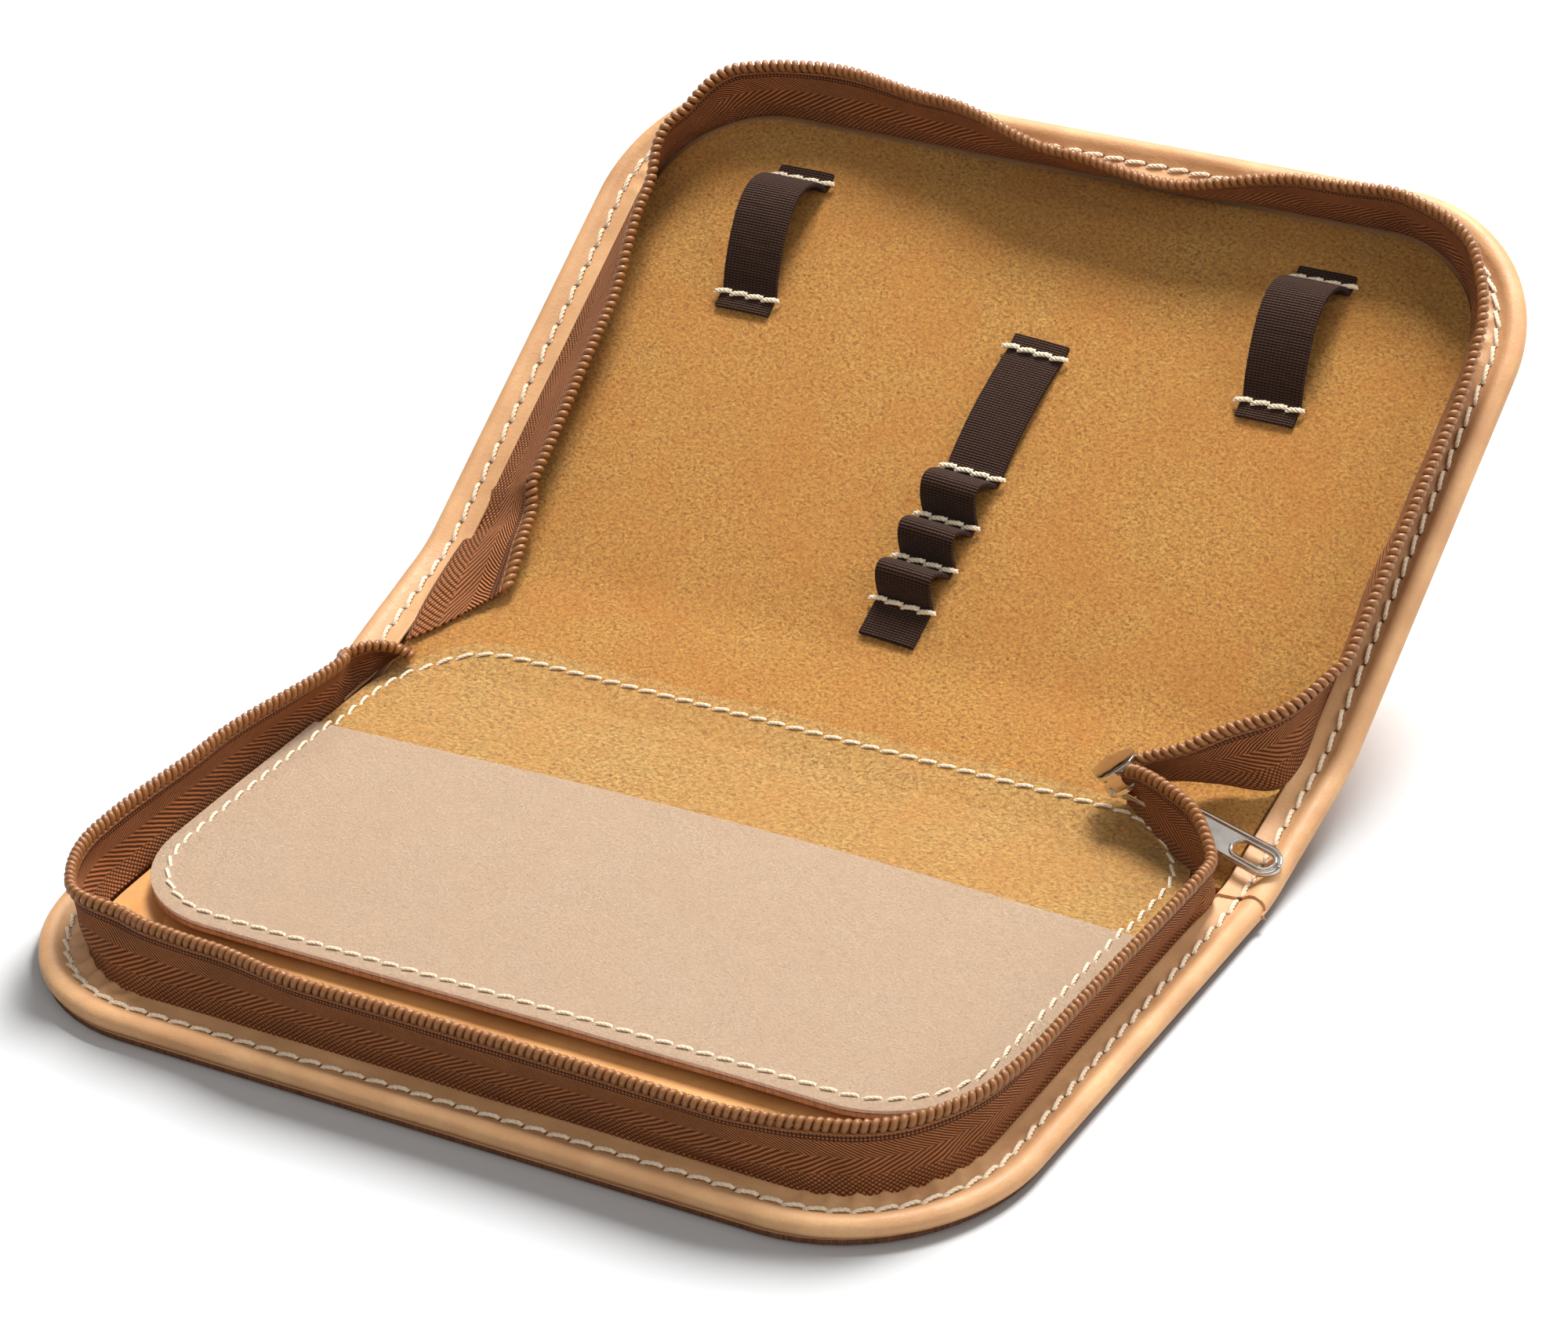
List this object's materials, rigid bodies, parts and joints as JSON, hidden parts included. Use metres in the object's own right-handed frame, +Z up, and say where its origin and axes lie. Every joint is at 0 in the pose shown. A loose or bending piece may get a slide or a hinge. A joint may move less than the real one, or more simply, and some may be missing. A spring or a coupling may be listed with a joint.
{
  "type": "zip-around leather pencil case",
  "caption": "Zip-around leather pencil case lying open: two lined halves on a spine, elastic pencil loops, a pocket leaf, zip with slider and pull.",
  "frame": {"origin": "middle of the lower cover's resting face", "axes": "+X along the spine towards the end where the slider hangs, +Y from the front edge to the spine, +Z up"},
  "size_m": [0.2, 0.252, 0.0862],
  "materials": {
    "cover": "smooth vegetable-tanned leather, satin",
    "board": "grey-brown stiffener board",
    "lining_floor": "smooth tan leather",
    "suede": "ochre suede nap",
    "flesh": "pale nude flesh side",
    "binding": "smooth tan leather, rounded edge",
    "cord": "twisted cotton cord",
    "tape": "red-brown herringbone woven tape",
    "coil": "brown nylon coil",
    "elastic": "dark brown ribbed elastic",
    "nickel": "polished nickel"
  },
  "bodies": {
    "lower_half": {"lower_cover": "cover", "lower_board": "board", "lower_lining": "lining_floor", "lower_binding": "binding", "lower_edge_cord": "cord", "zip_tape_lower": "tape", "zip_coil_lower": "coil", "tray_sheet": "lining_floor"},
    "leaf": {"leaf_panel": "suede", "leaf_pocket": "flesh"},
    "spine": {"spine_cover": "cover", "spine_board": "board", "spine_lining": "suede", "spine_binding_left": "binding", "spine_binding_right": "binding", "spine_edge_cord_left": "cord", "spine_edge_cord_right": "cord", "leaf_seam": "suede", "slider_body": "nickel", "zip_tape_end_lower_right": "tape", "zip_tape_end_upper_right": "tape", "zip_tape_end_lower_left": "tape", "zip_tape_end_upper_left": "tape", "zip_coil_end_lower_right": "coil", "zip_coil_end_upper_right": "coil", "zip_coil_end_lower_left": "coil", "zip_coil_end_upper_left": "coil"},
    "upper_half": {"upper_cover": "cover", "upper_board": "board", "upper_lining": "suede", "upper_binding": "binding", "upper_edge_cord": "cord", "zip_tape_upper": "tape", "zip_coil_upper": "coil", "loop_left": "elastic", "loop_right": "elastic", "loop_band": "elastic"},
    "pull": {"slider_pull": "nickel"}
  },
  "joints": [
    {"name": "lower_fold", "type": "hinge", "parent": "lower_half", "child": "spine", "pos_m": [0, 0.0589, 0.003], "axis": [1, 0, 0], "range_deg": [-16, 74], "deforming": ["zip_tape_end_lower_right", "zip_coil_end_lower_right", "zip_tape_end_lower_left", "zip_coil_end_lower_left"]},
    {"name": "upper_fold", "type": "hinge", "parent": "spine", "child": "upper_half", "pos_m": [0, 0.09158, 0.01237], "axis": [1, 0, 0], "range_deg": [-16, 74], "deforming": ["zip_tape_end_upper_right", "zip_coil_end_upper_right", "zip_tape_end_upper_left", "zip_coil_end_upper_left"]},
    {"name": "leaf_fold", "type": "hinge", "parent": "lower_half", "child": "leaf", "pos_m": [0, 0.0589, 0.003], "axis": [-1, 0, 0], "range_deg": [0, 8]},
    {"name": "pull_swing", "type": "hinge", "parent": "spine", "child": "pull", "pos_m": [0.06699, 0.0696, 0.01218], "axis": [-0.2079, -0.9403, -0.2696], "range_deg": [0, 22]}
  ],
  "couplings": [
    {"joint": "upper_fold", "follows": "lower_fold", "ratio": 1}
  ]
}
